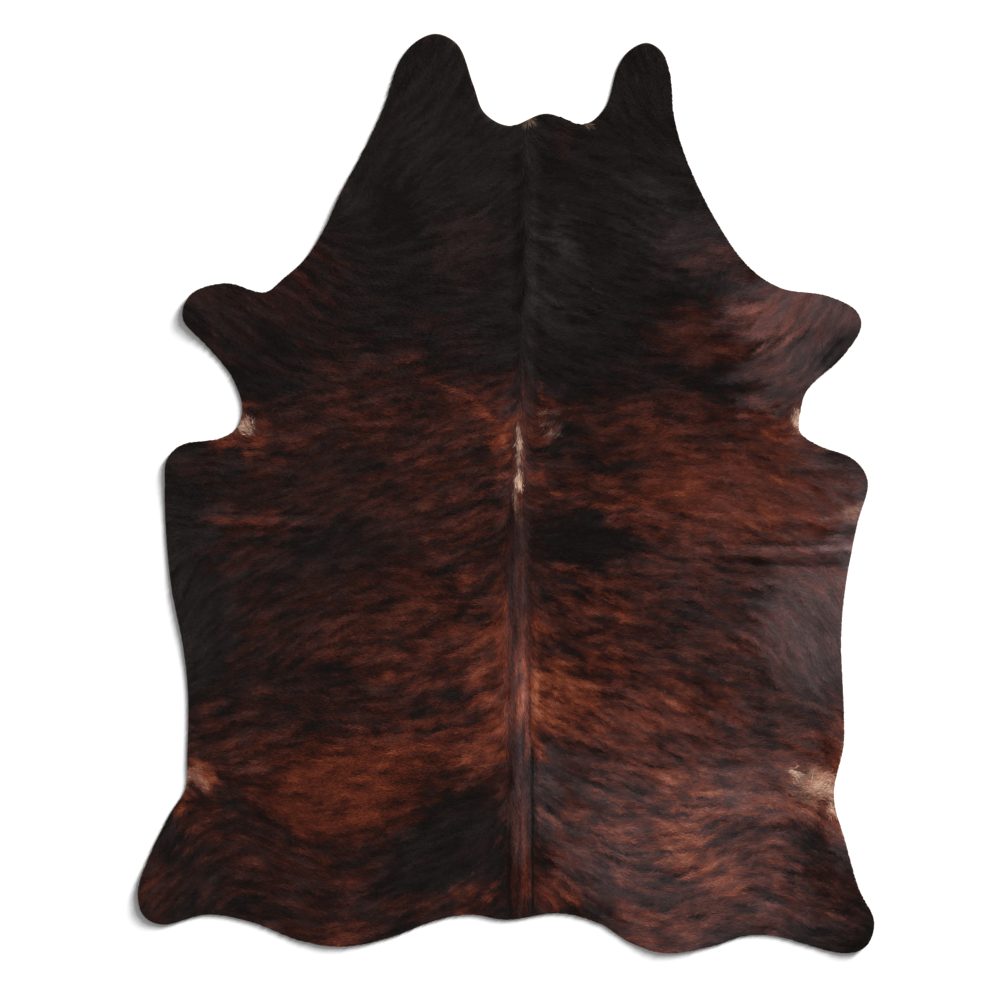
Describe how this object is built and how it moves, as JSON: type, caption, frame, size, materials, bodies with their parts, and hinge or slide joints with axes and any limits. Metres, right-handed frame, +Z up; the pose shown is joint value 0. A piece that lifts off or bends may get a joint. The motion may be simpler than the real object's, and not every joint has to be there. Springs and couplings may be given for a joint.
{
  "type": "cowhide rug",
  "caption": "Whole cowhide laid flat as a rug, coat side up, with neck, leg and tail lobes, a notched neck, and a dark red-brown brindle coat.",
  "frame": {"origin": "on the floor under the middle of the hide's box", "axes": "+Y along the backbone towards the neck, -Y towards the hind feet, +X to the right seen from above, +Z up out of the coat"},
  "size_m": [1.8026, 2.2518, 0.01],
  "materials": {
    "brindle_coat": "short combed cow hair, near black with rust-red and mauve-grey brindle, on suede leather"
  },
  "bodies": {
    "root": {"hide": "brindle_coat"}
  },
  "joints": []
}
